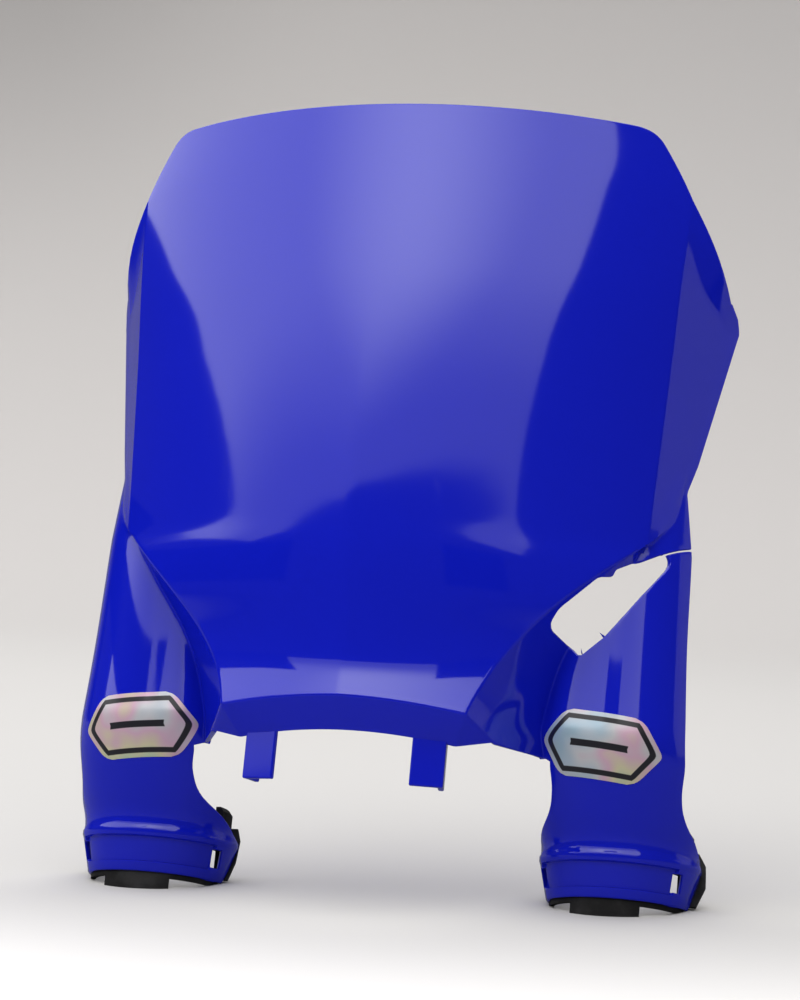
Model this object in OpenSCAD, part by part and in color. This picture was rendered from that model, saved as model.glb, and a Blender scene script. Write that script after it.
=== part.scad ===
// Front number board for a motocross motorcycle, with shrouds for both fork legs.
// Everything is laid out along the fork tubes: x to the rider's left, y backwards, z up the tubes.
// The lowest line of the collars is at z 0, and the finished board leans back to stand on them.

/* [Fork] */
// Distance between the axes of the two fork tubes
fork_spacing = 214; // [206:1:220]
// Diameter of the fork tube that the liners grip
tube_d = 55; // [53:0.5:56]
// Backward lean of the fork tubes while the board stands on its collars, in degrees
lean = 15; // [12:0.5:16]

/* [Moulding] */
// Wall thickness of the moulding
wall = 2.6; // [2.2:0.1:3]
// Height of the top edge of the face
face_top = 336.5; // [330:0.5:345]
// Half width of the face at its top edge
top_half_w = 111.5; // [105:0.5:115]
// Half width of the face where the side folds start, near the top
fold_top_half_w = 128.3; // [126:0.1:130]
// Half width of the face where the side folds end, low down
fold_end_half_w = 119.4; // [117:0.1:121]
// Half width over the rear edges of the side flanks
flank_half_w = 146.2; // [143:0.1:148]
// Half width of the lip under the chin
lip_half_w = 54.5; // [52:0.5:57]
// Angle of the ridge down the middle of the lower face, each side of square
keel = 5; // [2:0.5:7]

/* [Legs] */
// Room between each fork tube and the inside of its shroud
leg_gap = 4.9; // [4.4:0.1:5.4]
// How much wider the shrouds get just above the collars
leg_swell = 1.6; // [0:0.1:1.8]
// How far the shrouds bulge ahead of the tubes, above the collars
leg_forward = 20; // [17:0.5:22]
// Height of each collar, up to its ridge
collar_h = 18; // [17:0.5:19]
// Thickness of the liner at the bottom edge of the collar
liner_low = 1.1; // [0.9:0.1:1.5]
// Thickness of the liner at the ridge of the collar
liner_top = 5.5; // [5.3:0.1:5.9]
// Width of each strap slot
slot_w = 4.9; // [3:0.1:5.5]
// Height of each strap slot
slot_h = 9.5; // [8:0.5:10]
// Depth of the channel that the strap lies in
channel = 1.5; // [0.6:0.1:1.6]

/* [Tabs] */
// Width of each locating tab under the lip
tab_w = 14.6; // [12:0.1:16]
// How far each tab hangs below the lip
tab_drop = 20.5; // [16:0.5:24]
// Depth of the return along the outer side of each tab
tab_return = 11; // [8:0.5:13]

/* [Stickers] */
// Width of each sticker
decal_w = 54; // [44:1:56]
// Height of each sticker
decal_h = 28; // [22:1:29]
// Thickness of each sticker
decal_t = 0.3; // [0.25:0.05:0.4]

/* [Hidden] */
$fn = 96;

fork_x = fork_spacing / 2;
bore_r = tube_d / 2;
leg_r = bore_r + leg_gap + wall;
collar_low_r = bore_r + liner_low + wall;
collar_top_r = bore_r + liner_top + wall;
blue = [0.03, 0.05, 0.62];
black = [0.05, 0.05, 0.05];
silver = [0.75, 0.76, 0.78];

function mix(a, b, t) = a + (b - a) * t;
function ease(t) = let (s = min(1, max(0, t))) s * s * (3 - 2 * s);
function unit(v) = v / max(norm(v), 1e-9);
function bend(a, b, c, t) = mix(mix(a, b, t), mix(b, c, t), t);
function bend4(a, b, c, d, t) = mix(bend(a, b, c, t), bend(b, c, d, t), t);
function total(list, i = 0) = i == len(list) - 1 ? list[i] : list[i] + total(list, i + 1);

// Value at z of a smooth curve through points given as [z, value], with z falling
function slope(p, i) = let (a = max(0, i - 1), b = min(len(p) - 1, i + 1)) (p[b][1] - p[a][1]) / (p[b][0] - p[a][0]);
function curve(p, z, i = 0) =
  i < len(p) - 2 && z < p[i + 1][0] ? curve(p, z, i + 1) :
  let (w = p[i + 1][0] - p[i][0], t = min(1, max(0, (z - p[i][0]) / w)), m = slope(p, i) * w, n = slope(p, i + 1) * w)
  p[i][1] * (2 * pow(t, 3) - 3 * pow(t, 2) + 1) + m * (pow(t, 3) - 2 * pow(t, 2) + t)
  + p[i + 1][1] * (3 * pow(t, 2) - 2 * pow(t, 3)) + n * (pow(t, 3) - pow(t, 2));

// Solid sheet on a grid of points on its face: live[i][j] tells which cells of the grid exist,
// and a thickness below 0 builds the sheet in front of the grid
module sheet(grid, live, thick) {
  rows = len(grid);
  cols = len(grid[0]);
  function on(i, j) = i >= 0 && j >= 0 && i < rows - 1 && j < cols - 1 && live[i][j];
  across = [for (i = [0:rows - 2]) [for (j = [0:cols - 2])
    on(i, j) ? unit(cross(grid[i][j + 1] - grid[i + 1][j], grid[i + 1][j + 1] - grid[i][j])) : [0, 0, 0]]];
  function near(i, j) = [for (a = [i - 1, i], b = [j - 1, j]) if (on(a, b)) across[a][b]];
  back = [for (i = [0:rows - 1]) [for (j = [0:cols - 1])
    let (n = near(i, j), s = len(n) ? total(n) : [0, 0, 0], u = unit(s), c = len(n) ? norm(s) / len(n) : 1)
    grid[i][j] + u * thick / max(c, 0.7)]];
  function at(i, j) = i * cols + j;
  step = rows * cols;
  function wallside(a, b) = [[a, b, b + step], [a, b + step, a + step]];
  faces = [for (i = [0:rows - 2], j = [0:cols - 2]) if (on(i, j))
    let (a = at(i, j), b = at(i, j + 1), c = at(i + 1, j + 1), d = at(i + 1, j))
    each concat([[a, b, c], [a, c, d], [c + step, b + step, a + step], [d + step, c + step, a + step]],
      on(i - 1, j) ? [] : wallside(b, a), on(i + 1, j) ? [] : wallside(d, c),
      on(i, j - 1) ? [] : wallside(a, d), on(i, j + 1) ? [] : wallside(c, b))];
  polyhedron([for (r = grid) each r, for (r = back) each r],
    thick > 0 ? faces : [for (f = faces) [f[2], f[1], f[0]]], convexity = 10);
}

// Forward position of the face, from its top edge down to the lip: on the centre line and, seen from the
// front, on a line side_x out from it. The side line runs back into a hollow above the chin.
middle = [[face_top, -97], [220, -103.5], [140, -102], [88, -93.5], [66, -97]];
side = [[face_top, -63], [307, -66], [265, -66.6], [225, -64.1], [150, -57.8], [136, -62.1], [118, -60.4], [100, -52.5],
  [82, -55], [66, -65.7]];
side_x = 110;

// A row across the face is two equal arcs that leave the ridge on the centre line
function ridge_angle(z) = keel * ease((260 - z) / 110);
function face_y(x, z) =
  let (ridge = ridge_angle(z), mid_y = curve(middle, z), rise = atan2(curve(side, z) - mid_y, side_x),
    r = norm([side_x, curve(side, z) - mid_y]) / (2 * sin(rise - ridge)))
  mid_y + r * (cos(ridge) - cos(asin(x / r + sin(ridge))));
function on_face(p) = [p[0], face_y(p[0], p[1]), p[1]];

// The edge of the face on the +x side as [x, z]: round the top corner, down to the side fold,
// down the fold, then inwards along the curved lower edge to the end of the lip
corner = [top_half_w, face_top];
fold_top = [fold_top_half_w, 307];
fold_end = [fold_end_half_w, 150.3];
lip_end = [lip_half_w, 66.6];
below_corner = mix(corner, fold_top, 0.2) + [0.4, 0];
function corner_edge(t) = bend([104, face_top + 0.3], corner, below_corner, t);
function upper_edge(t) = bend(below_corner, mix(corner, fold_top, 0.6) + [1.2, 0], fold_top, t);
function fold_edge(t) = mix(fold_top, fold_end, t);
function lower_edge(t) = bend4(fold_end, [88.3, 118.5], [61.4, 98.7], lip_end, t);

face_cols = 11;
lip_arch = 4.4;
function face_row(edge, mid_z) = [for (i = [0:face_cols]) let (t = i / face_cols)
  on_face([edge[0] * t, mix(mid_z, edge[1], t * t)])];

// Flank beside the side fold: its outline has a tip, and a second fold turns a narrow strip further back
flank_tip = [flank_half_w, -16, 257];
flank_low = [130.2, -35.4, 178.5];
flank_top = on_face(fold_top);
flank_bulge = [1.5, -3.4, 1.6];
flank_sag = [1, 0, -4];
strip_dir = unit([0.5, 0.85, 0.1]);
strip_top_w = 10.4;
fold_rows = 8;
function flank_edge(i) = let (a = mix(flank_top, flank_tip, 0.8) + 0.5 * flank_bulge, b = flank_tip - strip_top_w * strip_dir)
  i == 0 ? a : i == 1 ? mix(a, b, 0.5) : mix(b, flank_low, (i - 2) / (fold_rows - 2));
function strip_w(i) = i == 0 ? 0.8 : i == 1 ? 7 : i == fold_rows ? 2.4 : mix(strip_top_w, 4, (i - 2) / (fold_rows - 2));
function flank_part(i, hinge) = let (e = flank_edge(i), out = i == 0 ? flank_bulge : i == 1 ? 0.4 * flank_bulge :
    i == fold_rows ? flank_sag : [0, 0, 0])
  [mix(hinge, e, 1 / 3) + 0.8 * out, mix(hinge, e, 2 / 3) + out, e, e + strip_w(i) * strip_dir];

corner_rows = 3;
upper_rows = 3;
lower_rows = 9;
edge_rows = concat(
  [for (i = [0:corner_rows - 1]) corner_edge(i / corner_rows)],
  [for (i = [0:upper_rows - 1]) upper_edge(i / upper_rows)],
  [for (i = [0:fold_rows - 1]) fold_edge(i / fold_rows)],
  [for (i = [0:lower_rows]) lower_edge(i / lower_rows)]);
fold_start = corner_rows + upper_rows;
fold_stop = fold_start + fold_rows;

// Lower line of the turned-down lip: an arc from the middle to its low end beside the corner facet
lip_low_end = [48.2, -75.4, 54.7];
lip_low_mid = [0, -84, 58.3];
function lip_low(t) = [lip_low_end.x * t, mix(lip_low_mid.y, lip_low_end.y, t * t), mix(lip_low_mid.z, lip_low_end.z, t * t)];

function half_row(i) =
  let (last = len(edge_rows) - 1, e = edge_rows[min(i, last)], low = min(1, max(0, i - fold_stop) / lower_rows),
    row = i > last ? [for (k = [0:face_cols]) lip_low(k / face_cols)] : face_row(e, e[1] + lip_arch * pow(low, 3)))
  concat(row, flank_part(min(fold_rows, max(0, i - fold_start)), row[face_cols]));
function other_side(row) = [for (i = [len(row) - 1:-1:1]) [-row[i].x, row[i].y, row[i].z]];

// The face with its flanks, its chin and its turned-down lip
face_grid = [for (i = [0:len(edge_rows)]) let (row = half_row(i)) concat(other_side(row), row)];
module face_sheet() {
  cols = len(face_grid[0]);
  live = [for (i = [0:len(face_grid) - 2]) [for (j = [0:cols - 2])
    (j >= 4 && j < cols - 5) || (i >= fold_start && i < fold_stop)]];
  sheet(face_grid, live, wall);
}

// Facet that turns the lip round the corner on to the side wall
wall_low_end = [63.5, -70, 58.2];
module lip_corner() {
  top = on_face(lip_end);
  inward = wall * unit(cross(wall_low_end - top, lip_low_end - top));
  hull() polyhedron([for (k = [0, 1], p = [top, lip_low_end, wall_low_end]) p + k * inward],
    [[0, 1, 2], [5, 4, 3], [0, 2, 5, 3], [2, 1, 4, 5], [1, 0, 3, 4]]);
}

// Leg: an arc round the tube that moves forwards and tightens with height
// and swells a little beside the side wall
hinge_swell = 3.4;
leg_taper = [[186, -7.8], [150, -6.2], [110, -4.6], [88, -3.4], [66, -1.8], [46, -0.3], [36, 0], [18, 0]];
function leg_y(z) = -leg_forward * ease((z - 20) / 50);
function leg_radius(z) = leg_r + leg_swell * ease((z - 22) / 14) + curve(leg_taper, z);
function leg_point(z, turn) =
  let (r = leg_radius(z) + hinge_swell * ease((-10 - turn) / 30) * ease((z - 56) / 14))
  [fork_x + r * sin(turn), leg_y(z) - r * cos(turn), z];
inner_turn = [[186, 24], [150, 18], [130, -4], [112, -26], [94, -41], [76, -50], [58.2, -55]];
rear_turn = [[186, 52], [172, 66], [110, 66], [60, 65], [44, 58], [34, 62], [26, 80], [collar_h, 100]];
foot_turn = [[55, -46], [44, -43], [34, -50], [26, -76], [collar_h, -100]];
function leg_start(z) = z > 56 ? curve(inner_turn, z) : curve(foot_turn, z);

// Side wall from the face's lower edge back to the leg
wall_cols = 4;
leg_cols = 12;
leg_heights = concat([186, 179, 172, 162], [for (i = [0:lower_rows]) lower_edge(i / lower_rows)[1]],
  [62.4, wall_low_end.z, 54, 47, 40, 34, 30, 26, 22, collar_h]);
wall_start = 4;
wall_stop = wall_start + lower_rows + 2;
function wall_edge(i) = i < wall_start ? leg_point(leg_heights[i], leg_start(leg_heights[i])) :
  i <= wall_start + lower_rows ? on_face(lower_edge((i - wall_start) / lower_rows)) :
  mix(on_face(lip_end), wall_low_end, min(2, i - wall_start - lower_rows) / 2);
function leg_row(i) = let (z = leg_heights[i], start = leg_start(z), stop = curve(rear_turn, z),
    next = z < 40 ? start + 4 : max(start + 4, -42), hinge = leg_point(z, start), e = wall_edge(i))
  concat([for (j = [0:wall_cols - 1]) mix(e, hinge, j / wall_cols)], [hinge],
    [for (j = [0:leg_cols - 1]) leg_point(z, mix(next, stop, j / (leg_cols - 1)))]);
leg_grid = [for (i = [0:len(leg_heights) - 1]) leg_row(i)];
leg_live = [for (i = [0:len(leg_heights) - 2]) [for (j = [0:wall_cols + leg_cols - 1])
  j >= wall_cols || (i >= wall_start && i < wall_stop)]];

// Opening for the brake hose through one leg, with the slit that the hose is pressed in through. It is cut
// at an angle from the front, upwards and inwards, and its outline is drawn square to that direction.
port_pitch = 13.5;
port_yaw = 16.6;
port = [[60.4, 129], [61.4, 125.2], [67.5, 120.5], [73.5, 115.6], [75.6, 115.9], [84.2, 124.4], [98.3, 142.5],
  [109.8, 155.7], [111.2, 159], [109.8, 162.4], [106.8, 162.8], [86.6, 154], [85.8, 150.8], [79.3, 150.4],
  [63.3, 135.3]];
module hose_port() {
  rotate([90 + port_pitch, 0, port_yaw]) translate([0, 0, 10]) linear_extrude(70)
    offset(r = 1.2, $fn = 24) offset(delta = -1.2) polygon(port);
  translate([126, -60, 147.4]) rotate([0, -30, 0]) cube([20, 60, 1.5]);
}

// Profile turned round a fork tube over an angle that is centred on a direction, with 0 at the front
module turned(middle_turn, spread, outline)
  rotate([0, 0, 270 + middle_turn - spread / 2]) rotate_extrude(angle = spread) polygon(outline);

// Everything more than y behind the raked ends of the collars
rake = 26;
module behind(y) rotate([-rake, 0, 0]) translate([-50, y, -30]) cube([100, 50, 90]);

// Collar: half a cone round the tube with raked ends, a strap channel and two strap slots,
// which run through it halfway between the radius and the direction that the mould opens in
slot_mid = (collar_h - slot_h) / 2 + slot_h / 2;
slot_turns = [-70, 62];
function collar_radius(z) = mix(collar_low_r, collar_top_r, z / collar_h);
module collar() {
  difference() {
    rotate([0, 0, 160]) rotate_extrude(angle = 220) polygon([[collar_low_r - wall, 0], [collar_low_r, 0],
      [collar_top_r, collar_h - 0.6], [collar_top_r, collar_h + 1.6], [leg_r - 0.6, collar_h + 2.4],
      [leg_r - wall - 0.2, collar_h + 2.4], [collar_top_r - wall, collar_h - 0.6]]);
    behind(0);
    turned((slot_turns[0] + slot_turns[1]) / 2, slot_turns[1] - slot_turns[0] - 8,
      [[collar_radius(2.5) - channel, 2.5], [collar_radius(2.5) + 9, 2.5],
        [collar_radius(14) + 9, 14], [collar_radius(14) - channel, 14]]);
    strap_slots(slot_w, slot_h);
  }
}
slot_out = 6;
slot_in = collar_radius(slot_mid) - bore_r + 4;
module strap_slots(w, h) {
  for (turn = slot_turns) rotate([0, 0, turn]) translate([0, -collar_radius(slot_mid), slot_mid])
    rotate([0, 0, -turn / 2]) translate([-w / 2, -slot_out, -h / 2]) cube([w, slot_out + slot_in, h]);
}

module leg_sheet() sheet(leg_grid, leg_live, wall);
module leg() {
  leg_sheet();
  translate([fork_x, 0, 0]) collar();
  lip_corner();
}

// Locating tab: a plate under the lip with a return along its outer side
tab_x = 30.6;
tab_y = -80.6;
tab_turn = 12;
module tab() {
  translate([tab_x, tab_y, 57 - tab_drop]) rotate([0, 0, tab_turn]) {
    cube([tab_w, wall, tab_drop + 7]);
    translate([tab_w - wall, 0, 0]) cube([wall, tab_return, tab_drop + 6]);
  }
}

module board() {
  face_sheet();
  difference() {
    leg();
    hose_port();
  }
  mirror([1, 0, 0]) leg();
  tab();
  mirror([1, 0, 0]) tab();
}

// Liner: soft sleeve between collar and tube, with a tongue at the front, raised ends, and a bead that
// covers each end of the collar
flap_h = 34;
bead = 5;
bead_in = 0.9;
bead_out = 3;
tongue = 9;
module liner() {
  flap_r = bore_r + leg_gap - 1;
  difference() {
    union() {
      turned(0, 250, [[bore_r, -tongue], [collar_low_r - 1.6, -tongue], [collar_low_r - 1.4, 0],
        [collar_low_r - wall, 0], [collar_top_r - wall, collar_h - 0.6], [flap_r, collar_h],
        [flap_r, flap_h - 2], [flap_r - 1.6, flap_h], [bore_r, flap_h]]);
      for (end = [[-96, bead_in], [96, bead_out]]) intersection() {
        turned(end[0], 60, [[bore_r + 1.2, 2], [collar_radius(2) + 0.8 * end[1], 2],
          [collar_radius(11) + 1.3 * end[1], 11], [collar_top_r + 0.6 * end[1], collar_h + 3],
          [collar_top_r - 1, 27], [bore_r + 1.2, 27]]);
        behind(0);
      }
    }
    turned(0, 156, [[20, collar_h - 0.3], [50, collar_h - 0.3], [50, 60], [20, 60]]);
    for (side_turn = [-90, 90])
      turned(side_turn, 118, [[20, -30], [50, -30], [50, -2.2], [20, -2.2]]);
    behind(bead);
    strap_slots(slot_w + 5, slot_h + 1);
    rotate([lean, 0, 0]) translate([-50, -60, -40]) cube([100, 120, 40]);
  }
}

// Sticker on the front of a leg: a long hexagon with rounded corners, as thick as its foil
decal_z = 62;
decal_x = fork_x - 2;
module decal() {
  intersection() {
    sheet(leg_grid, leg_live, -decal_t);
    translate([decal_x, -20, decal_z]) rotate([90, 0, 0]) linear_extrude(60) rotate(-6) offset(r = 4, $fn = 24)
      polygon([for (p = [[1, 0], [0.62, 1], [-0.62, 1], [-1, 0], [-0.62, -1], [0.62, -1]])
        [p.x * (decal_w / 2 - 4), p.y * (decal_h / 2 - 4)]]);
  }
}

// The board leans back until the tongues of the liners reach the ground in front of the collars,
// and it is centred over the origin from front to back
function leaned_y(p) = p.y * cos(lean) + p.z * sin(lean);
outline_y = [for (row = face_grid, p = row) leaned_y(p)];
rear_skin = 1.3;
module stand() {
  translate([0, -(min(outline_y) + max(outline_y) + rear_skin) / 2, 0]) rotate([-lean, 0, 0]) children();
}

module number_board() color(blue) stand() board();
module left_fork_liner() color(black) stand() translate([fork_x, 0, 0]) liner();
module right_fork_liner() color(black) stand() mirror([1, 0, 0]) translate([fork_x, 0, 0]) liner();
module left_decal() color(silver) stand() decal();
module right_decal() color(silver) stand() mirror([1, 0, 0]) decal();

number_board();
left_fork_liner();
right_fork_liner();
left_decal();
right_decal();
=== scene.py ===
import math

import bmesh
import bpy
from mathutils import Matrix, Vector


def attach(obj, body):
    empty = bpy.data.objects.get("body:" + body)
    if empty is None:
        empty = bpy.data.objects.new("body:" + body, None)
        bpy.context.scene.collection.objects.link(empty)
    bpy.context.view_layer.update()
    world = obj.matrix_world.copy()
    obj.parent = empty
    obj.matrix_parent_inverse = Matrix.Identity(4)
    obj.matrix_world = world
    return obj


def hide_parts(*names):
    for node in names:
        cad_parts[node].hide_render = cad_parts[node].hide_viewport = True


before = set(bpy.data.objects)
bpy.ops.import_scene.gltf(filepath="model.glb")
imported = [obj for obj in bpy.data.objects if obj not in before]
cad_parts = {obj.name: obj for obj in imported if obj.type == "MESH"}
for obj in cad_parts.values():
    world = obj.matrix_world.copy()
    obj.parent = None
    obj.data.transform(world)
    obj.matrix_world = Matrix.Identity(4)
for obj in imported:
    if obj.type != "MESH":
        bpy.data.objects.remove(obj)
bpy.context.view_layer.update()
print("frame loaded")

# The part is modelled in millimetres along the fork tubes, then leaned back on to its collars
standing = {"lean": 15.0, "shift": 10.998}
toStand = (Matrix.Scale(0.001, 4) @ Matrix.Translation((0, standing["shift"], 0))
           @ Matrix.Rotation(math.radians(-standing["lean"]), 4, "X"))


def mix(a, b, t):
    return a + (b - a) * t


def clamp(t):
    return min(1.0, max(0.0, t))


def ease(t):
    t = clamp(t)
    return t * t * (3 - 2 * t)


def bend(a, b, c, t):  # a curve from a to c that leans towards b
    return mix(mix(a, b, t), mix(b, c, t), t)


def bend4(a, b, c, d, t):
    return mix(bend(a, b, c, t), bend(b, c, d, t), t)


def slopeAt(points, i):
    low, high = points[max(0, i - 1)], points[min(len(points) - 1, i + 1)]
    return (high[1] - low[1]) / (high[0] - low[0])


def along(points, z):  # smooth curve through (z, value) pairs, with z falling
    i = 0
    while i < len(points) - 2 and z < points[i + 1][0]:
        i += 1
    width = points[i + 1][0] - points[i][0]
    t = clamp((z - points[i][0]) / width)
    m, n = slopeAt(points, i) * width, slopeAt(points, i + 1) * width
    return (points[i][1] * (2 * t ** 3 - 3 * t ** 2 + 1) + m * (t ** 3 - 2 * t ** 2 + t)
            + points[i + 1][1] * (3 * t ** 2 - 2 * t ** 3) + n * (t ** 3 - t ** 2))


# Camera
view = {"yaw": 16.64, "pitch": -13.49, "roll": 5.39, "distance": 1505, "aside": 5.8, "below": -30.0,
        "aim": (0, 0, 150), "lens": 118.76}


def makeCamera():
    yaw, pitch, roll = (math.radians(view[k]) for k in ("yaw", "pitch", "roll"))
    back = Vector((math.sin(yaw) * math.cos(pitch), -math.cos(yaw) * math.cos(pitch), math.sin(pitch)))
    level = Vector((math.cos(yaw), math.sin(yaw), 0))
    upright = back.cross(level)
    right = level * math.cos(roll) + upright * math.sin(roll)
    up = upright * math.cos(roll) - level * math.sin(roll)
    place = Vector(view["aim"]) - right * view["aside"] - up * view["below"] + back * view["distance"]
    turn = Matrix.Rotation(math.radians(-standing["lean"]), 3, "X")
    data = bpy.data.cameras.new("camera")
    data.lens, data.sensor_width, data.sensor_fit = view["lens"], 36, "AUTO"
    data.clip_start, data.clip_end = 0.05, 50
    camera = bpy.data.objects.new("camera", data)
    axes = Matrix((turn @ right, turn @ up, turn @ back)).transposed()
    camera.matrix_world = Matrix.Translation(toStand @ place) @ axes.to_4x4()
    bpy.context.scene.collection.objects.link(camera)
    bpy.context.scene.camera = camera


makeCamera()
print("camera placed")


# Shader tools
class Signal:  # a socket that takes part in sums
    def __init__(self, shader, socket):
        self.shader, self.socket = shader, socket

    def join(self, operation, *values):
        return self.shader.node("ShaderNodeMath", {"operation": operation}, dict(enumerate(values)))

    def __add__(self, other):
        return self.join("ADD", self, other)

    def __radd__(self, other):
        return self.join("ADD", other, self)

    def __sub__(self, other):
        return self.join("SUBTRACT", self, other)

    def __rsub__(self, other):
        return self.join("SUBTRACT", other, self)

    def __mul__(self, other):
        return self.join("MULTIPLY", self, other)

    def __rmul__(self, other):
        return self.join("MULTIPLY", other, self)

    def size(self):
        return self.join("ABSOLUTE", self)

    def root(self):
        return self.join("SQRT", self)

    def smaller(self, other):
        return self.join("MINIMUM", self, other)

    def larger(self, other):
        return self.join("MAXIMUM", self, other)

    def between(self, low, high, outLow=0.0, outHigh=1.0):  # smooth step from low to high
        return self.shader.node("ShaderNodeMapRange", {"interpolation_type": "SMOOTHSTEP", "clamp": True},
                                {"Value": self, "From Min": low, "From Max": high,
                                 "To Min": outLow, "To Max": outHigh}, "Result")


class Shader:
    def __init__(self, name):
        self.material = bpy.data.materials.new(name)
        self.material.use_nodes = True
        self.tree = self.material.node_tree
        self.tree.nodes.clear()
        self.place = Signal(self, self.tree.nodes.new("ShaderNodeTexCoord").outputs["Object"])

    def node(self, kind, settings=None, values=None, output=0):
        made = self.tree.nodes.new(kind)
        for key, value in (settings or {}).items():
            if key == "stops":
                ramp = made.color_ramp
                while len(ramp.elements) < len(value):
                    ramp.elements.new(0.5)
                for element, (position, colour) in zip(ramp.elements, value):
                    element.position, element.color = position, (*colour, 1)
            else:
                setattr(made, key, value)
        for key, value in (values or {}).items():
            if isinstance(value, Signal):
                self.tree.links.new(value.socket, made.inputs[key])
            else:
                made.inputs[key].default_value = value
        return Signal(self, made.outputs[output]) if len(made.outputs) else made

    def part(self, vector, axis):
        return self.node("ShaderNodeSeparateXYZ", None, {"Vector": vector}, axis)

    def noise(self, scale, detail=2.0, rough=0.5, stretch=(1, 1, 1)):
        where = self.node("ShaderNodeVectorMath", {"operation": "MULTIPLY"}, {0: self.place, 1: stretch})
        return self.node("ShaderNodeTexNoise", {"noise_dimensions": "3D"},
                         {"Vector": where, "Scale": scale, "Detail": detail, "Roughness": rough}, "Fac")

    def blendColours(self, share, first, second):
        made = self.tree.nodes.new("ShaderNodeMix")
        made.data_type = "RGBA"
        for index, value in ((0, share), (6, first), (7, second)):
            if isinstance(value, Signal):
                self.tree.links.new(value.socket, made.inputs[index])
            else:
                made.inputs[index].default_value = value if index == 0 else (*value, 1)
        return Signal(self, made.outputs[2])

    def bump(self, height, strength, distance):
        return self.node("ShaderNodeBump", None,
                         {"Height": height, "Strength": strength, "Distance": distance})

    def finish(self, values):  # ends the material in one surface that has these inputs
        surface = self.node("ShaderNodeBsdfPrincipled", None, values)
        self.node("ShaderNodeOutputMaterial", None, {"Surface": surface})
        return self.material


def use(piece, material):
    piece.data.materials.clear()
    piece.data.materials.append(material)


# Number board
board = {
    "wall": 2.6, "faceTop": 336.5, "topHalf": 111.5, "flankHalf": 146.2, "lipHalf": 54.5, "lipHeight": 66.6,
    "foldTopHalf": 128.3, "foldTopHeight": 307, "foldEndHalf": 119.4, "foldEndHeight": 150.3,
    "keel": 5.0, "keelTop": 260, "keelFade": 110,  # the ridge's turn in degrees, and where it comes in
    "chinArch": 4.4, "sideFold": 110,  # how far the chin's edge arches, and where the side line lies
    "forkX": 107.0, "legRadius": 35.0, "legSwell": 1.6, "legForward": 20.0, "hingeSwell": 3.4,
    "collarHeight": 18.0, "collarLow": 31.2, "collarTop": 35.6, "rake": 26.0,
    "channel": 1.5, "channelTurns": (-66, 58),
    "slotWidth": 5.4, "slotHeight": 8.8, "slotMiddle": 9.6, "slotTurns": (-70, 60),
    "creaseRound": 0.9, "rimRound": 0.5,
    "blue": (0.0036, 0.0090, 0.43), "flowBlue": (0.0048, 0.0105, 0.47), "roughness": 0.055, "glossIor": 1.55,
}
grids = {"faceCols": 36, "topRows": 8, "cornerRows": 10, "foldRows": 40, "lowRows": 30, "patchRows": 7,
         "wallCols": 5, "legCols": 28}
sharpTurn = math.radians(38)  # an edge that turns by more than this stays sharp
collarZone = 19  # what is lower than this belongs to a collar

# Curves of the moulding, each as (height, place) or (height, turn in degrees) pairs from the top down
middleLine = [(336.5, -97), (220, -103.5), (140, -102), (88, -93.5), (66, -97)]
sideLine = [(336.5, -63), (307, -66), (265, -66.6), (225, -64.1), (150, -60.2), (136, -61.6), (118, -60.2),
            (100, -52.5), (82, -55), (66, -65.7)]
innerTurn = [(186, 24), (150, 18), (130, -4), (112, -26), (94, -41), (76, -50), (58.2, -55)]
rearTurn = [(186, 52), (172, 66), (110, 66), (60, 65), (44, 58), (34, 62), (26, 80), (18, 100)]
legTaper = [(186, -7.8), (150, -6.2), (110, -4.6), (88, -3.4), (66, -1.8), (46, -0.3), (36, 0), (18, 0)]
footTurn = [(55, -46), (44, -43), (34, -50), (26, -76), (18, -100)]


def faceY(x, z):  # a row across the face is two equal arcs that leave the ridge in the middle
    ridge = math.radians(board["keel"] * ease((board["keelTop"] - z) / board["keelFade"]))
    mid, side = along(middleLine, z), along(sideLine, z)
    rise = math.atan2(side - mid, board["sideFold"])
    r = math.hypot(board["sideFold"], side - mid) / (2 * math.sin(rise - ridge))
    return mid + r * (math.cos(ridge) - math.cos(math.asin(x / r + math.sin(ridge))))


def onFace(p):
    return Vector((p[0], faceY(p[0], p[1]), p[1]))


# Corners of the face's outline, as (x, height)
topStart = Vector((104, board["faceTop"] + 0.3))
corner = Vector((board["topHalf"], board["faceTop"]))
foldTop = Vector((board["foldTopHalf"], board["foldTopHeight"]))
foldEnd = Vector((board["foldEndHalf"], board["foldEndHeight"]))
lipEnd = Vector((board["lipHalf"], board["lipHeight"]))
belowCorner = mix(corner, foldTop, 0.2) + Vector((0.4, 0))
shoulder = mix(corner, foldTop, 0.6) + Vector((1.2, 0))
lowerTurns = Vector((88.3, 118.5)), Vector((61.4, 98.7))

# Corners of the lip, the side wall and the flank, in space
lipLowEnd, lipLowMid = Vector((48.2, -75.4, 54.7)), Vector((0, -84, 58.3))
wallLowEnd = Vector((63.5, -70, 58.2))
flankTip, flankLow = Vector((board["flankHalf"], -16, 257)), Vector((130.2, -35.4, 178.5))
flankBulge, flankSag = Vector((1.5, -3.4, 1.6)), Vector((1, 0, -4))
flankRows, tipRow, tipRound = 8, 2, 0.45
stripWay = Vector((0.5, 0.85, 0.1)).normalized()
stripWidths = [0.8, 7, 10.4, 9.33, 8.27, 7.2, 6.13, 5.07, 2.4]
flankSteps = [0, 0.125, 0.25, 0.375, 0.5, 0.625, 0.75, 0.875, 1, 1.33, 1.67, 2]


def lowerEdge(t):
    return bend4(foldEnd, *lowerTurns, lipEnd, t)


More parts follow.
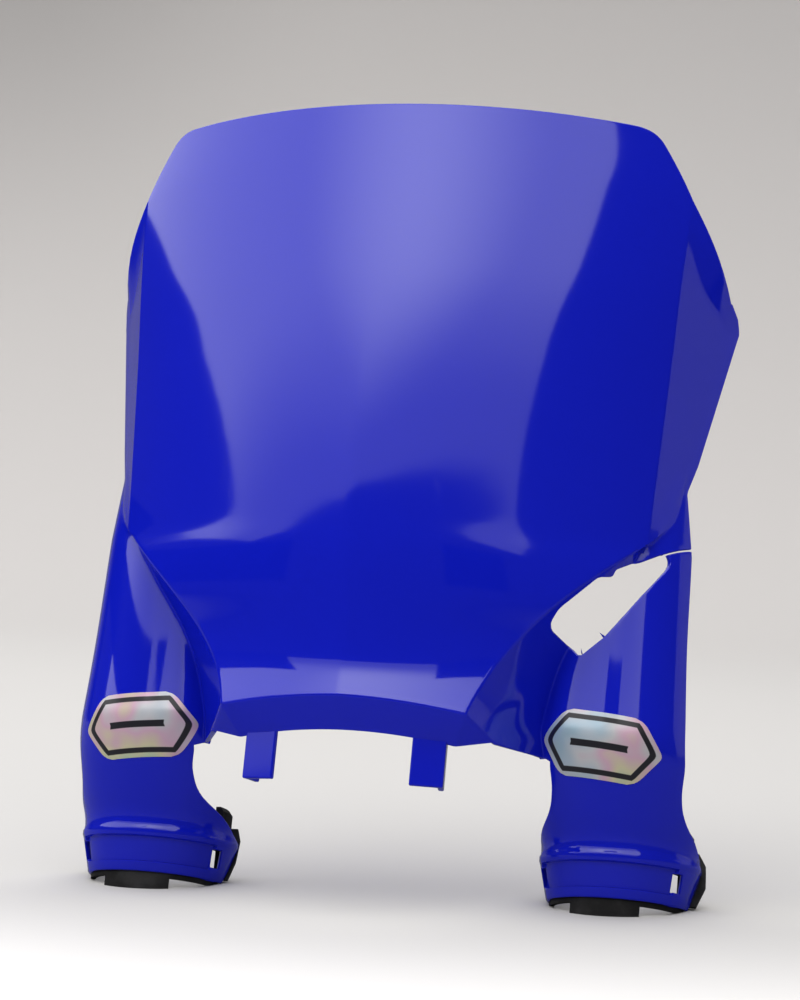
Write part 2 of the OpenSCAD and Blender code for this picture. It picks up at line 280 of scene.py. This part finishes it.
def flankEdge(s):  # s runs from 0 at the top to 8 at the low end, with the tip at 2
    first = mix(onFace(foldTop), flankTip, 0.8) + 0.5 * flankBulge
    tip = flankTip - stripWidths[tipRow] * stripWay
    if abs(s - tipRow) < tipRound:
        before = mix(first, tip, 1 - tipRound / tipRow)
        after = mix(tip, flankLow, tipRound / (flankRows - tipRow))
        return bend(before, tip, after, (s - tipRow + tipRound) / (2 * tipRound))
    if s < tipRow:
        return mix(first, tip, s / tipRow)
    return mix(tip, flankLow, (s - tipRow) / (flankRows - tipRow))


def flankPoint(s, t):  # t runs from 0 at the first fold to 1 at the second, then to 2 at the rear edge
    hinge, edge = onFace(mix(foldTop, foldEnd, s / flankRows)), flankEdge(s)
    if t > 1:
        i = min(flankRows - 1, int(s))
        return edge + (t - 1) * mix(stripWidths[i], stripWidths[i + 1], s - i) * stripWay
    out = flankBulge * max(0.0, 1 - 0.6 * s) + flankSag * max(0.0, s - flankRows + 1)
    return mix(hinge, edge, t) + out * (2.7 * t * (1 - t) * (1 + t))


def legRadiusAt(z, turn):  # the leg swells above its collar, tapers upwards and bulges beside the hinge
    r = board["legRadius"] + board["legSwell"] * ease((z - 22) / 14) + along(legTaper, z)
    return r + board["hingeSwell"] * ease((-10 - turn) / 30) * ease((z - 56) / 14)


def legForwardAt(z):
    return board["legForward"] * ease((z - 20) / 50)


def roundTube(z, turn, r, forward):
    a = math.radians(turn)
    return Vector((board["forkX"] + r * math.sin(a), -forward - r * math.cos(a), z))


def legPoint(z, turn):
    return roundTube(z, turn, legRadiusAt(z, turn), legForwardAt(z))


def gridOf(bm, rows, cols, place, creased, live=None, onLeg=False):
    # a grid whose points are moved on to the surface, with its creases marked and unused cells taken out
    crease, leg = bm.edges.layers.int["crease"], bm.faces.layers.int["leg"]
    verts = bmesh.ops.create_grid(bm, x_segments=cols, y_segments=rows, size=1)["verts"]
    cell = {v: (round((v.co.y + 1) / 2 * rows), round((v.co.x + 1) / 2 * cols)) for v in verts}
    for e in {e for v in verts for e in v.link_edges}:
        (i, j), (k, m) = (cell[v] for v in e.verts)
        if creased(i == k, min(i, k), min(j, m)):
            e[crease] = 1
    spare = []
    for f in {f for v in verts for f in v.link_faces}:
        f[leg] = int(onLeg)
        if live and not live(min(cell[v][0] for v in f.verts), min(cell[v][1] for v in f.verts)):
            spare.append(f)
    for v in verts:
        v.co = place(*cell[v])
    bmesh.ops.delete(bm, geom=spare, context="FACES")


def buildFace(bm):
    topRows, cornerRows, cols = grids["topRows"], grids["cornerRows"], grids["faceCols"]
    foldRows, lowRows = grids["foldRows"], grids["lowRows"]
    edges = [bend(topStart, corner, belowCorner, i / topRows) for i in range(topRows)]
    edges += [bend(belowCorner, shoulder, foldTop, i / cornerRows) for i in range(cornerRows)]
    edges += [mix(foldTop, foldEnd, i / foldRows) for i in range(foldRows)]
    start, last = len(edges), len(edges) + lowRows + 1
    edges += [lowerEdge(i / lowRows) for i in range(lowRows + 1)]

    def facePoint(i, j):
        t = j / cols
        if i == last:  # the low edge of the lip
            return Vector((lipLowEnd.x * t, mix(lipLowMid.y, lipLowEnd.y, t * t),
                           mix(lipLowMid.z, lipLowEnd.z, t * t)))
        lift = board["chinArch"] * max(0.0, (i - start) / lowRows) ** 3
        return onFace((edges[i].x * t, mix(edges[i].y + lift, edges[i].y, t * t)))

    gridOf(bm, last, cols, facePoint, lambda level, i, j: i == last - 1 if level else j == cols)
    gridOf(bm, foldRows, len(flankSteps) - 1,
           lambda i, j: flankPoint(flankRows * i / foldRows, flankSteps[j]),
           lambda level, i, j: i == foldRows if level else j in (0, flankSteps.index(1)))


def legTurns(z, start, stop):  # a row's first point is at the hinge, and the rest are spread round the leg
    after = start + 4 if z < 40 else max(start + 4, -42)
    return [start] + [mix(after, stop, k / (grids["legCols"] - 1)) for k in range(grids["legCols"])]


def collarTurns(z, r):  # the ends of the collar are raked
    stop = math.degrees(math.acos(max(-1, -z * math.tan(math.radians(board["rake"])) / r)))
    low, high = board["channelTurns"]
    marks = [(-stop, 0), (low - 1, 5), (low, 6), (high, 22), (high + 1, 23), (stop, grids["legCols"])]
    found = []
    for k in range(grids["legCols"] + 1):
        (a, i), (b, j) = next(((m, n) for m, n in zip(marks, marks[1:]) if n[1] >= k))
        found.append(mix(a, b, (k - i) / (j - i)))
    return found


def wallRow(z, edge, start, stop):  # across the side wall from its edge, then round the leg
    hinge, cols = legPoint(z, start), grids["wallCols"]
    wall = [mix(edge, hinge, j / cols) for j in range(cols)]
    return wall + [legPoint(z, t) for t in legTurns(z, start, stop)]


def patchRow(i, base):  # from the low end of the flank down to the top of the side wall
    row, t = [], i / grids["patchRows"]
    foldAt = 1.176  # where the flank's second fold meets the row, which runs from 0 to 2
    for j, low in enumerate(base):
        s = (j / (len(base) - 1)) ** 1.15 * 2
        across = s * 0.85 if s < foldAt else 1 + (s - foldAt) / (2 - foldAt)
        if i == 0:  # the two grids share their points here
            across = min(flankSteps, key=lambda step: abs(step - across))
        high = flankPoint(flankRows, across)
        found = mix(high, low, t)
        axis = Vector((board["forkX"], -board["legForward"], 0))
        swell = mix((high.xy - axis.xy).length, (low.xy - axis.xy).length, t)
        flat = Vector((found.x - axis.x, found.y - axis.y, 0))
        row.append(axis + Vector((0, 0, found.z)) + flat.normalized() * swell)
    return row


def buildLeg(bm):
    patchRows, lowRows = grids["patchRows"], grids["lowRows"]
    wallCols, legCols = grids["wallCols"], grids["legCols"]
    foldZ = board["foldEndHeight"]
    base = wallRow(foldZ, onFace(foldEnd), along(innerTurn, foldZ), along(rearTurn, foldZ))
    rows = [patchRow(i, base) for i in range(patchRows)]
    edges = [onFace(lowerEdge(i / lowRows)) for i in range(lowRows + 1)]
    edges += [mix(onFace(lipEnd), wallLowEnd, share) for share in (0.5, 1)]
    rows += [wallRow(p.z, p, along(innerTurn, p.z), along(rearTurn, p.z)) for p in edges]
    wallStop = len(rows) - 1
    for z in range(56, 21, -2):  # the leg below the side wall, with a row every 2 mm
        start, stop = along(footTurn, z), along(rearTurn, z)
        rows.append([legPoint(z, start)] * wallCols + [legPoint(z, t) for t in legTurns(z, start, stop)])
    # The collar's rows: height, radius where it isn't the collar's own, and whether the strap sinks in
    profile = [(19.8, 35.1, 0), (19.0, 35.6, 0), (17.2, 35.6, 0), (15.6, None, 0), (15.1, None, 1),
               (9.6, None, 1), (4.7, None, 1), (4.2, None, 0), (0.6, None, 0), (0.0, 30.8, 0)]
    first, last = board["channelTurns"]
    for z, r, deep in profile:
        r = r or mix(board["collarLow"], board["collarTop"], z / board["collarHeight"])
        row = [roundTube(z, t, r - (board["channel"] if deep and first <= t <= last else 0), 0)
               for t in collarTurns(z, r)]
        rows.append([row[0]] * wallCols + row)
    gridOf(bm, len(rows) - 1, wallCols + legCols, lambda i, j: rows[i][j],
           lambda level, i, j: i == 0 if level else i >= patchRows and j in (0, wallCols),
           live=lambda i, j: j >= wallCols or i < wallStop, onLeg=True)


def buildLipCorner(bm):
    lip = onFace(lipEnd)
    f = bm.faces.new([bm.verts.new(p) for p in (lip, lipLowEnd, wallLowEnd, mix(lip, wallLowEnd, 0.5))])
    for e in f.edges:
        e[bm.edges.layers.int["crease"]] = 1


def inside(p, outline):
    found = False
    for (x1, y1), (x2, y2) in zip(outline, outline[1:] + outline[:1]):
        if (y1 > p[1]) != (y2 > p[1]) and p[0] < (x2 - x1) * (p[1] - y1) / (y2 - y1) + x1:
            found = not found
    return found


def cutHole(bm, outline, across, upright, wanted):
    # cuts an outline, drawn on two axes, through the wanted faces and takes out what is inside it
    through = across.cross(upright)
    near = 0.01

    def flat(p):
        return p.dot(across), p.dot(upright)

    for (x1, y1), (x2, y2) in zip(outline, outline[1:] + outline[:1]):
        way = Vector((x2 - x1, y2 - y1))
        length = way.length
        way.normalize()
        cutFaces = []
        for f in bm.faces:
            if not wanted(f):
                continue
            spots = [flat(v.co) for v in f.verts]
            sides = [way.x * (y - y1) - way.y * (x - x1) for x, y in spots]
            reach = [way.x * (x - x1) + way.y * (y - y1) for x, y in spots]
            if min(sides) < -near and max(sides) > near and min(reach) < length and max(reach) > 0:
                cutFaces.append(f)
        geom = [*{v for f in cutFaces for v in f.verts}, *{e for f in cutFaces for e in f.edges}, *cutFaces]
        normal = (across * way.x + upright * way.y).cross(through)
        bmesh.ops.bisect_plane(bm, geom=geom, dist=2 * near, plane_co=across * x1 + upright * y1,
                               plane_no=normal)
    gone = [f for f in bm.faces if wanted(f) and inside(flat(f.calc_center_median()), outline)]
    bmesh.ops.delete(bm, geom=gone, context="FACES")


def roundCorners(outline, radius, steps):
    found = []
    for before, here, after in zip(outline[-1:] + outline[:-1], outline, outline[1:] + outline[:1]):
        here = Vector(here)
        a, b = Vector(before) - here, Vector(after) - here
        r = min(radius, a.length * 0.45, b.length * 0.45)
        a, b = here + a.normalized() * r, here + b.normalized() * r
        found += [tuple(bend(a, here, b, k / (steps - 1))) for k in range(steps)]
    return found


def slotSpot(turn):  # a slot's middle on the collar, and the way that it runs through
    a = math.radians(turn)
    r = mix(board["collarLow"], board["collarTop"], board["slotMiddle"] / board["collarHeight"])
    spot = Vector((board["forkX"] + r * math.sin(a), -r * math.cos(a), 0))
    return spot, Vector((math.sin(a / 2), -math.cos(a / 2), 0))


def cutStrapSlots(bm):
    half, low = board["slotWidth"] / 2, board["slotMiddle"] - board["slotHeight"] / 2
    high = low + board["slotHeight"]
    for turn in board["slotTurns"]:
        spot, outward = slotSpot(turn)
        across = Vector((-outward.y, outward.x, 0))
        mid = across.dot(spot)
        shape = [(mid - half, low), (mid + half, low), (mid + half, high), (mid - half, high)]

        def onCollar(f):
            middle = f.calc_center_median()
            return middle.z < collarZone and (middle - spot).xy.length < 12

        cutHole(bm, roundCorners(shape, 0.8, 3), across, Vector((0, 0, 1)), onCollar)


# The opening for the brake hose, drawn on a plane that is turned by yaw and pitch
hosePort = {
    "pitch": 13.5, "yaw": 16.6, "round": 2.0,
    "outline": [(60.4, 129), (61.4, 125.2), (67.5, 120.5), (73.5, 115.6), (75.6, 115.9), (84.2, 124.4),
                (98.3, 142.5), (109.8, 155.7), (111.2, 159), (109.8, 162.4), (106.8, 162.8), (86.6, 154),
                (85.8, 150.8), (79.3, 150.4), (63.3, 135.3)],
    "slitStart": (126, 147.4), "slitTurn": 30, "slitGap": 1.5, "slitLength": 20,
}


def cutHosePort(bm):
    yaw, pitch = math.radians(hosePort["yaw"]), math.radians(90 + hosePort["pitch"])
    turn = Matrix.Rotation(yaw, 3, "Z") @ Matrix.Rotation(pitch, 3, "X")
    leg = bm.faces.layers.int["leg"]

    def onUpperLeg(f):
        return f[leg] and f.calc_center_median().x > 60 and f.calc_center_median().z > 100

    outline = roundCorners(hosePort["outline"], hosePort["round"], 5)
    cutHole(bm, outline, turn @ Vector((1, 0, 0)), turn @ Vector((0, 1, 0)), onUpperLeg)
    a = math.radians(hosePort["slitTurn"])
    start = Vector(hosePort["slitStart"])
    way = Vector((math.cos(a), math.sin(a))) * hosePort["slitLength"]
    gap = Vector((-math.sin(a), math.cos(a))) * hosePort["slitGap"]
    shape = [tuple(p) for p in (start, start + way, start + way + gap, start + gap)]
    cutHole(bm, shape, Vector((1, 0, 0)), Vector((0, 0, 1)), onUpperLeg)


tab = {"x": 30.6, "y": -80.6, "turn": 12, "width": 14.6, "drop": 20.5, "back": 11.0, "round": 0.7,
       "top": 57, "blade": 7, "rib": 5.8}  # the blade and the rib run this far up past the top


def addTabs(bm):
    wall, drop = board["wall"], tab["drop"]
    blade = (0, 0, 0), (tab["width"], wall, drop + tab["blade"])
    rib = (tab["width"] - wall, 0.2, 0.1), (wall, tab["back"], drop + tab["rib"])
    turn = Matrix.Rotation(math.radians(tab["turn"]), 3, "Z")
    for side in (1, -1):
        for low, size in (blade, rib):
            verts = bmesh.ops.create_cube(bm, size=1)["verts"]
            bmesh.ops.scale(bm, vec=size, verts=verts)
            bmesh.ops.translate(bm, vec=Vector(low) + Vector(size) / 2, verts=verts)
            bmesh.ops.rotate(bm, cent=(0, 0, 0), matrix=turn, verts=verts)
            bmesh.ops.translate(bm, vec=(tab["x"], tab["y"], tab["top"] - drop), verts=verts)
            if side < 0:
                bmesh.ops.scale(bm, vec=(-1, 1, 1), verts=verts)
            bmesh.ops.recalc_face_normals(bm, faces=list({f for v in verts for f in v.link_faces}))
            edges = list({e for v in verts for e in v.link_edges})
            bmesh.ops.bevel(bm, geom=edges, offset=tab["round"], segments=3, profile=0.5, affect="EDGES",
                            material=-1)


def roomBeside(e, width):  # whether both faces at an edge are wide enough for its rounding
    return min(f.calc_area() for f in e.link_faces) / e.calc_length() > width


# Steps over a rounded rim, as the share of the wall and the share of the bulge
rimSteps = [(0.06, 0.44), (0.22, 0.84), (0.5, 1.0), (0.78, 0.84), (0.94, 0.44)]
slotReach = 5.5  # how far from a slot's middle its walls lie


def thicken(bm, wall, bulge, slots):
    # extrudes the skin inwards along its point normals and rounds the rim that joins the two sides
    made = bmesh.ops.extrude_face_region(bm, geom=bm.faces[:], use_keep_orig=True)["geom"]
    inner = {v for v in made if isinstance(v, bmesh.types.BMVert)}
    bm.normal_update()
    moves = {v: v.normal * wall * min(1.3, v.calc_shell_factor()) for v in inner}
    for v in moves:
        for spot, way in slots:  # the walls of a slot run through the collar at an angle
            beside = v.co.z < collarZone and (v.co - spot).xy.length < slotReach
            if beside and v.normal.dot(way) < 0.98:
                moves[v] = way * wall / max(0.5, v.normal.dot(way))
    for v, move in moves.items():
        v.co -= move
    spokes = [e for e in bm.edges if (e.verts[0] in inner) != (e.verts[1] in inner)]
    bmesh.ops.recalc_face_normals(bm, faces=bm.faces)
    bm.normal_update()
    chains = {}
    for e in spokes:
        start, end = e.verts if e.verts[1] in inner else reversed(e.verts)
        way = sum((f.normal for f in e.link_faces), Vector()).normalized() * bulge
        steps = [bm.verts.new(mix(start.co, end.co, share) + way * out) for share, out in rimSteps]
        chains[start] = [start, *steps, end]
    rimFaces = {f for e in spokes for f in e.link_faces}
    pairs = [[v for v in f.verts if v not in inner] for f in rimFaces]
    bmesh.ops.delete(bm, geom=spokes, context="EDGES")
    for first, second in pairs:
        for corners in zip(chains[first], chains[second], chains[second][1:], chains[first][1:]):
            bm.faces.new(corners)


def turnOutwards(bm, front):  # the face nearest to the front point looks forwards
    bmesh.ops.recalc_face_normals(bm, faces=bm.faces)
    nearest = min(bm.faces, key=lambda f: (f.calc_center_median() - front).length)
    if nearest.normal.y > 0:
        bmesh.ops.reverse_faces(bm, faces=bm.faces)


def standPiece(bm, name, node):  # stands a finished mesh on its collars, in place of a node
    for f in bm.faces:
        f.smooth = True
    for e in bm.edges:
        e.smooth = not (len(e.link_faces) == 2 and e.calc_face_angle(0) > sharpTurn)
    bm.transform(toStand)
    mesh = bpy.data.meshes.new(name)
    bm.to_mesh(mesh)
    bm.free()
    piece = bpy.data.objects.new(name, mesh)
    bpy.context.scene.collection.objects.link(piece)
    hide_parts(node)
    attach(piece, "root")
    return piece


def makeBoard():
    bm = bmesh.new()
    crease = bm.edges.layers.int.new("crease")
    bm.faces.layers.int.new("leg")
    buildFace(bm)
    buildLeg(bm)
    buildLipCorner(bm)
    bmesh.ops.remove_doubles(bm, verts=bm.verts, dist=0.02)
    cutStrapSlots(bm)
    bmesh.ops.mirror(bm, geom=bm.verts[:] + bm.edges[:] + bm.faces[:], axis="X", merge_dist=0.01)
    bmesh.ops.remove_doubles(bm, verts=bm.verts, dist=0.02)
    ridge = Vector((0, -103, 220))
    turnOutwards(bm, ridge)
    width = board["creaseRound"]
    creases = [e for e in bm.edges if e[crease] and len(e.link_faces) == 2 and roomBeside(e, width * 1.3)]
    bmesh.ops.bevel(bm, geom=creases, offset=width, segments=3, profile=0.5, affect="EDGES",
                    clamp_overlap=False, material=-1)
    cutHosePort(bm)
    bmesh.ops.remove_doubles(bm, verts=bm.verts, dist=0.12)
    turnOutwards(bm, ridge)
    slots = [slotSpot(turn) for turn in board["slotTurns"]]
    slots += [tuple(Vector((-p.x, p.y, p.z)) for p in slot) for slot in slots]
    thicken(bm, board["wall"], board["rimRound"], slots)
    bmesh.ops.recalc_face_normals(bm, faces=bm.faces)
    addTabs(bm)
    piece = standPiece(bm, "board_shell", "number_board")
    normals = piece.modifiers.new("normals", "WEIGHTED_NORMAL")
    normals.keep_sharp, normals.weight = True, 60
    return piece


# Gloss plastic: a deep blue with faint mould flow and fine scuffs
def bluePlastic():
    s = Shader("blue_gloss_plastic")
    flow = s.noise(scale=9, detail=3, rough=0.6, stretch=(1, 1, 0.35))
    speck = s.noise(scale=900)
    scuff = s.noise(scale=60, detail=4, rough=0.65, stretch=(3, 3, 0.4)).between(0.58, 0.75)
    ripple = s.noise(scale=28) * 0.6 + speck * 0.02
    return s.finish({"Base Color": s.blendColours(flow * 0.4, board["blue"], board["flowBlue"]),
                     "Roughness": board["roughness"] + flow * 0.03 + scuff * 0.03,
                     "IOR": board["glossIor"], "Normal": s.bump(ripple, strength=0.10, distance=0.0005)})


shell = makeBoard()
use(shell, bluePlastic())
print("number board built", len(shell.data.polygons))


# Liners
liner = {"black": (0.006, 0.006, 0.0065), "dust": (0.024, 0.024, 0.025), "roughness": 0.62, "shine": 0.22}


def rubber():  # matt rubber with a fine grain and dusty patches
    s = Shader("matt_rubber")
    grain = s.noise(scale=700, detail=3, rough=0.6)
    dust = s.noise(scale=45, detail=4, rough=0.6).between(0.45, 0.7)
    return s.finish({"Base Color": s.blendColours(dust, liner["black"], liner["dust"]),
                     "Roughness": liner["roughness"] + grain * 0.2, "Specular IOR Level": liner["shine"],
                     "Normal": s.bump(grain, strength=0.35, distance=0.0004)})


rubberFinish = rubber()
for name in ("left_fork_liner", "right_fork_liner"):
    use(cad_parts[name], rubberFinish)


# Stickers
sticker = {"x": 105.0, "z": 62.0, "width": 54.0, "height": 28.0, "turn": -6.0, "taper": 0.38,
           "noseRound": 0.012, "cornerRound": 3.2, "cornerStart": 0.72, "thick": 0.3, "sink": 0.08,
           "border": (1.7, 3.9), "barLength": 23.0, "barHeight": 2.6, "blur": 0.3, "sideSlope": 0.84,
           "ink": (0.010, 0.010, 0.016), "metal": 0.35, "roughness": 0.32, "coat": 0.3}
foilTints = [(0.32, (0.36, 0.50, 0.60)), (0.43, (0.56, 0.57, 0.60)), (0.50, (0.64, 0.42, 0.54)),
             (0.57, (0.64, 0.60, 0.40)), (0.68, (0.38, 0.60, 0.46))]


def stickerPoint(across, up):  # a long hexagon with rounded corners that follows the front of a leg
    half = sticker["width"] / 2 * (1 - sticker["taper"] * math.sqrt(up * up + sticker["noseRound"]))
    near = max(0.0, abs(up) - sticker["cornerStart"]) / (1 - sticker["cornerStart"])
    half -= sticker["cornerRound"] * (1 - math.sqrt(max(0.0, 1 - near ** 2)))
    a = math.radians(sticker["turn"])
    x, z = across * half, up * sticker["height"] / 2
    x, z = x * math.cos(a) - z * math.sin(a) + sticker["x"], x * math.sin(a) + z * math.cos(a) + sticker["z"]
    turn = 0.0
    for _ in range(6):  # the radius depends on the turn, so the turn is found in steps
        turn = math.degrees(math.asin((x - board["forkX"]) / legRadiusAt(z, turn)))
    return roundTube(z, turn, legRadiusAt(z, turn) + sticker["thick"], legForwardAt(z))


def makeSticker(name, side):
    bm = bmesh.new()
    layer = bm.loops.layers.uv.new("sheet")
    verts = bmesh.ops.create_grid(bm, x_segments=48, y_segments=28, size=1)["verts"]
    for f in bm.faces:
        for loop in f.loops:
            loop[layer].uv = ((loop.vert.co.x + 1) / 2, (loop.vert.co.y + 1) / 2)
    for v in verts:
        v.co = stickerPoint(v.co.x, v.co.y)
        v.co.x *= side
    turnOutwards(bm, Vector((side * sticker["x"], 0, sticker["z"])))
    made = bmesh.ops.extrude_face_region(bm, geom=bm.faces[:], use_keep_orig=True)["geom"]
    bm.normal_update()
    inner = [v for v in made if isinstance(v, bmesh.types.BMVert)]
    for v, way in [(v, v.normal.copy()) for v in inner]:
        v.co -= way * (sticker["thick"] + sticker["sink"])
    bmesh.ops.recalc_face_normals(bm, faces=bm.faces)
    return standPiece(bm, name + "_sheet", name)


# Silver foil that shifts in colour, with a bold border line and one plain bar
def foil():
    s = Shader("silver_foil")
    place = s.node("ShaderNodeUVMap", {"uv_map": "sheet"})
    across, up = s.part(place, "X") * 2 - 1, s.part(place, "Y") * 2 - 1
    half = sticker["width"] / 2 * (1 - up.size() * sticker["taper"])
    sideRoom = (1 - across.size()) * half * sticker["sideSlope"]  # how far a point is from the edge, in mm
    room = sideRoom.smaller((1 - up.size()) * (sticker["height"] / 2))
    (outer, inner), blur, barHalf = sticker["border"], sticker["blur"], sticker["barHeight"] / 2
    line = room.between(outer, outer + blur) * (1 - room.between(inner, inner + blur))
    barEnd = sticker["barLength"] / 2
    barRoom = (up * (sticker["height"] / 2)).size().larger((across * half).size() - barEnd)
    ink = line.larger(1 - barRoom.between(barHalf, barHalf + blur))
    drift = s.noise(scale=30)
    hue = s.node("ShaderNodeValToRGB", {"stops": foilTints}, {"Fac": drift}, "Color")
    return s.finish({"Base Color": s.blendColours(ink, hue, sticker["ink"]),
                     "Metallic": sticker["metal"] - ink * sticker["metal"],
                     "Roughness": sticker["roughness"] + drift * 0.1,
                     "Coat Weight": sticker["coat"], "Coat Roughness": 0.1})


foilFinish = foil()
for name, side in (("left_decal", 1), ("right_decal", -1)):
    use(makeSticker(name, side), foilFinish)
print("liners and stickers finished")


# Floor, backdrop and lights, in metres
def stagePiece(bm, name):
    for f in bm.faces:
        f.smooth = True
    mesh = bpy.data.meshes.new(name)
    bm.to_mesh(mesh)
    bm.free()
    piece = bpy.data.objects.new(name, mesh)
    bpy.context.scene.collection.objects.link(piece)
    return piece


def sheetOf(rows, cols, place):  # a grid whose points are placed by their shares across and along it
    bm = bmesh.new()
    for v in bmesh.ops.create_grid(bm, x_segments=cols, y_segments=rows, size=1)["verts"]:
        v.co = place((v.co.x + 1) / 2, (v.co.y + 1) / 2)
    return bm


sweep = {"front": -4.0, "back": 7.0, "bendStart": 1.9, "bendRadius": 1.3, "half": 9.0,
         "floor": (0.50, 0.496, 0.492), "floorFrontPaintedLight": (0.77, 0.767, 0.762), "floorBack": (0.50, 0.494, 0.49),
         "wall": (0.56, 0.546, 0.542), "cornerPaintedShade": 0.78,
         "frontFade": (-0.35, 0.0), "backFade": (0.3, 1.1), "wallFade": (1.4, 2.6),
         "cornerAcross": (-1.5, -0.95), "cornerUp": (0.3, 1.0),
         "mirroredNear": 0.12, "mirroredFar": 0.03, "mirroredFade": (-0.9, -0.3),
         "mirroredDull": 0.68, "dullFade": (0.3, 1.0)}


def makeSweep():  # a floor that bends up to a wall
    start, bow = sweep["bendStart"], sweep["bendRadius"]

    def place(across, onward):
        y, z = mix(sweep["front"], sweep["back"], onward), 0.0
        if y > start:
            past = y - start
            a = min(math.pi / 2, past / bow)
            y = start + bow * math.sin(a)
            z = bow * (1 - math.cos(a)) + max(0.0, past - bow * math.pi / 2)
        return mix(-sweep["half"], sweep["half"], across), y, z

    paperSweep = stagePiece(sheetOf(100, 2, place), "sweep")
    s = Shader("pale_paper")
    depth, height = s.part(s.place, "Y"), s.part(s.place, "Z")
    # painted light: the floor is painted lighter towards the front
    floor = s.blendColours(depth.between(*sweep["frontFade"]), sweep["floorFrontPaintedLight"], sweep["floor"])
    paper = s.blendColours(depth.between(*sweep["backFade"]), floor, sweep["floorBack"])
    paper = s.blendColours(depth.between(*sweep["wallFade"]), paper, sweep["wall"])
    # painted shade: the wall's left side, from 0.3 m up, is painted darker
    left = 1 - s.part(s.place, "X").between(*sweep["cornerAcross"])
    corner = left * height.between(*sweep["cornerUp"])
    paper = s.blendColours(corner, paper, tuple(sweep["cornerPaintedShade"] * level for level in sweep["wall"]))
    dull = s.blendColours(sweep["mirroredDull"], paper, (0, 0, 0))  # what reflections see is darker
    shade = depth.between(*sweep["mirroredFade"], sweep["mirroredFar"], sweep["mirroredNear"])
    shadeColour = s.node("ShaderNodeCombineXYZ", None, {0: shade, 1: shade, 2: shade})
    mirrored = s.blendColours(depth.between(*sweep["dullFade"]), shadeColour, dull)
    glossy = s.node("ShaderNodeLightPath", None, None, "Is Glossy Ray")
    use(paperSweep, s.finish({"Base Color": s.blendColours(glossy, paper, mirrored), "Roughness": 0.95,
                              "Specular IOR Level": 0.2}))


softbox = {"left": -4.4, "right": 1.3, "front": -3.1, "back": 2.4, "height": 1.55,
           "flareStart": -0.8, "flare": 0.42,  # the right edge runs outwards in front of here
           "strength": 4.1, "colour": (1.0, 0.985, 0.97), "hotSpot": (-0.25, -1.4),
           # each fade runs over two places and between two shares of the strength
           "spotFade": (0.0, 1.2, 0.0, 0.50), "frontFade": (-2.7, -1.4, 0.42, 1.0),
           "backFade": (0.4, 1.3, 0.0, 0.56)}


def makeSoftbox():  # one large panel overhead, with a hot spot, a dimmer front edge and a brighter back
    def place(across, onward):
        y = mix(softbox["front"], softbox["back"], onward)
        right = softbox["right"] + max(0.0, softbox["flareStart"] - y) * softbox["flare"]
        return mix(softbox["left"], right, across), y, softbox["height"]

    bm = sheetOf(24, 8, place)
    bmesh.ops.recalc_face_normals(bm, faces=bm.faces)
    panel = stagePiece(bm, "softbox")
    panel.visible_camera = False
    s = Shader("softbox_cloth")
    depth = s.part(s.place, "Y")
    aside, ahead = s.part(s.place, "X") - softbox["hotSpot"][0], depth - softbox["hotSpot"][1]
    far = (aside * aside + ahead * ahead).root()
    bright = (1 - far.between(*softbox["spotFade"])) * depth.between(*softbox["frontFade"])
    bright = bright.larger(depth.between(*softbox["backFade"]))
    use(panel, s.finish({"Base Color": (0, 0, 0, 1), "Roughness": 1.0,
                         "Emission Color": s.blendColours(bright, (0, 0, 0), softbox["colour"]),
                         "Emission Strength": softbox["strength"]}))


# Each flag has its middle across and the turns that it runs between
flags = {"left_flag": (0.107, -14, 8), "right_flag": (-0.107, -110, -4)}
flagShape = {"radius": 0.16, "behind": 0.01, "low": 0.15, "high": 0.195}


def makeFlags():  # dark curved flags, seen only in reflections, that keep the panel off the legs' fronts
    for name, (middle, start, stop) in flags.items():
        def place(across, up):
            a, r = math.radians(mix(start, stop, across)), flagShape["radius"]
            return (middle + r * math.sin(a), flagShape["behind"] - r * math.cos(a),
                    mix(flagShape["low"], flagShape["high"], up))

        flag = stagePiece(sheetOf(1, 24, place), name)
        flag.visible_camera = flag.visible_diffuse = flag.visible_shadow = False
        s = Shader(name + "_cloth")
        use(flag, s.finish({"Base Color": (0.004, 0.004, 0.004, 1), "Roughness": 1.0,
                            "Specular IOR Level": 0.0}))


card = {"x": 2.2, "front": 0.35, "back": 2.2, "height": 0.8, "colour": (0.52, 0.51, 0.51, 1)}


def makeCard():  # a pale card on the right that the right flank reflects
    def place(onward, up):
        return card["x"], mix(card["front"], card["back"], onward), mix(0.0, card["height"], up)

    sideCard = stagePiece(sheetOf(1, 1, place), "side_card")
    sideCard.visible_camera = False
    s = Shader("pale_card")
    use(sideCard, s.finish({"Base Color": card["colour"], "Roughness": 1.0}))


room = {"light": 0.05, "seen": 0.62, "colour": (1.0, 0.985, 0.98, 1)}


def makeRoom():  # a dim even light that the camera sees as a pale backdrop
    world = bpy.data.worlds.new("studio")
    world.use_nodes = True
    tree = world.node_tree
    path = tree.nodes.new("ShaderNodeLightPath")
    level = tree.nodes.new("ShaderNodeMapRange")
    level.inputs["To Min"].default_value = room["light"]
    level.inputs["To Max"].default_value = room["seen"]
    tree.links.new(path.outputs["Is Camera Ray"], level.inputs["Value"])
    tree.links.new(level.outputs["Result"], tree.nodes["Background"].inputs["Strength"])
    tree.nodes["Background"].inputs["Color"].default_value = room["colour"]
    bpy.context.scene.world = world


makeSweep()
makeSoftbox()
makeFlags()
makeCard()
makeRoom()
bpy.context.scene.view_settings.view_transform = "Standard"
print("stage and lights placed")

bpy.context.view_layer.update()
